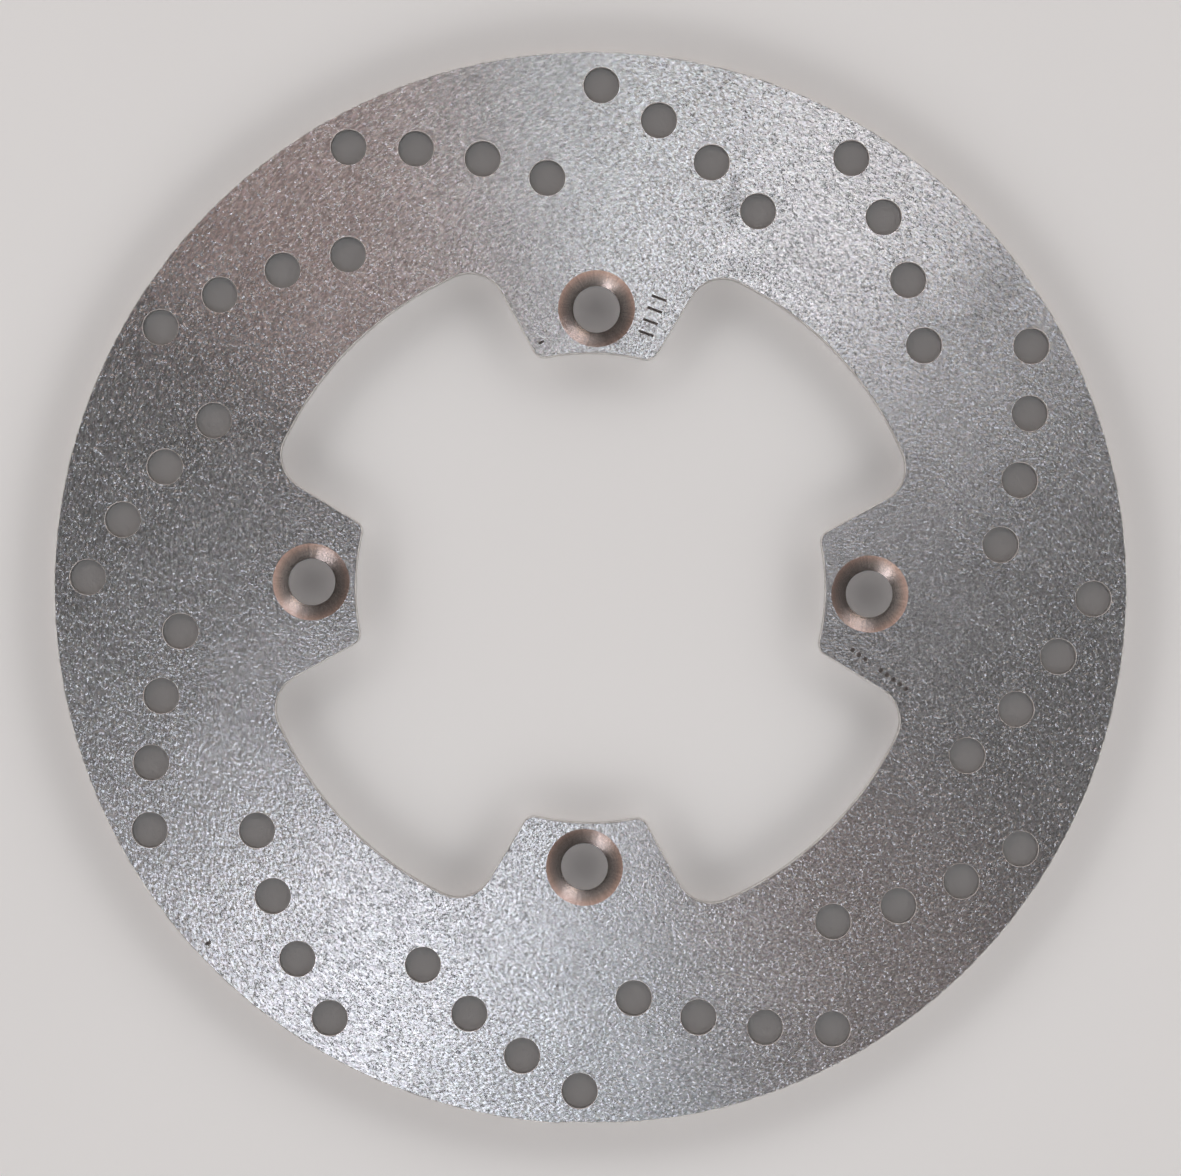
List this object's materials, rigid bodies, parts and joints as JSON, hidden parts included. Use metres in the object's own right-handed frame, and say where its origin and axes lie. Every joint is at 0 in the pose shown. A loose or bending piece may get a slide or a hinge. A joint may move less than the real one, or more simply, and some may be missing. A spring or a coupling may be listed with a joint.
{
  "type": "motorcycle brake disc rotor",
  "caption": "Flat round motorcycle brake rotor plate, drilled with swept rows of vent holes, with inward ears that carry countersunk bolt holes round an open centre.",
  "frame": {"origin": "on the rotor's axis, in the plane of the hub-side face", "axes": "+Z along the axis of rotation, out of the countersunk outer face; +X and +Y through the middles of two neighbouring ears and their bolt holes"},
  "size_m": [0.24, 0.24, 0.005],
  "materials": {
    "ground_steel": "bright stainless steel with a fine circular ground grain; turned countersinks and plain cut edges"
  },
  "bodies": {
    "root": {"rotor_disc": "ground_steel"}
  },
  "joints": []
}
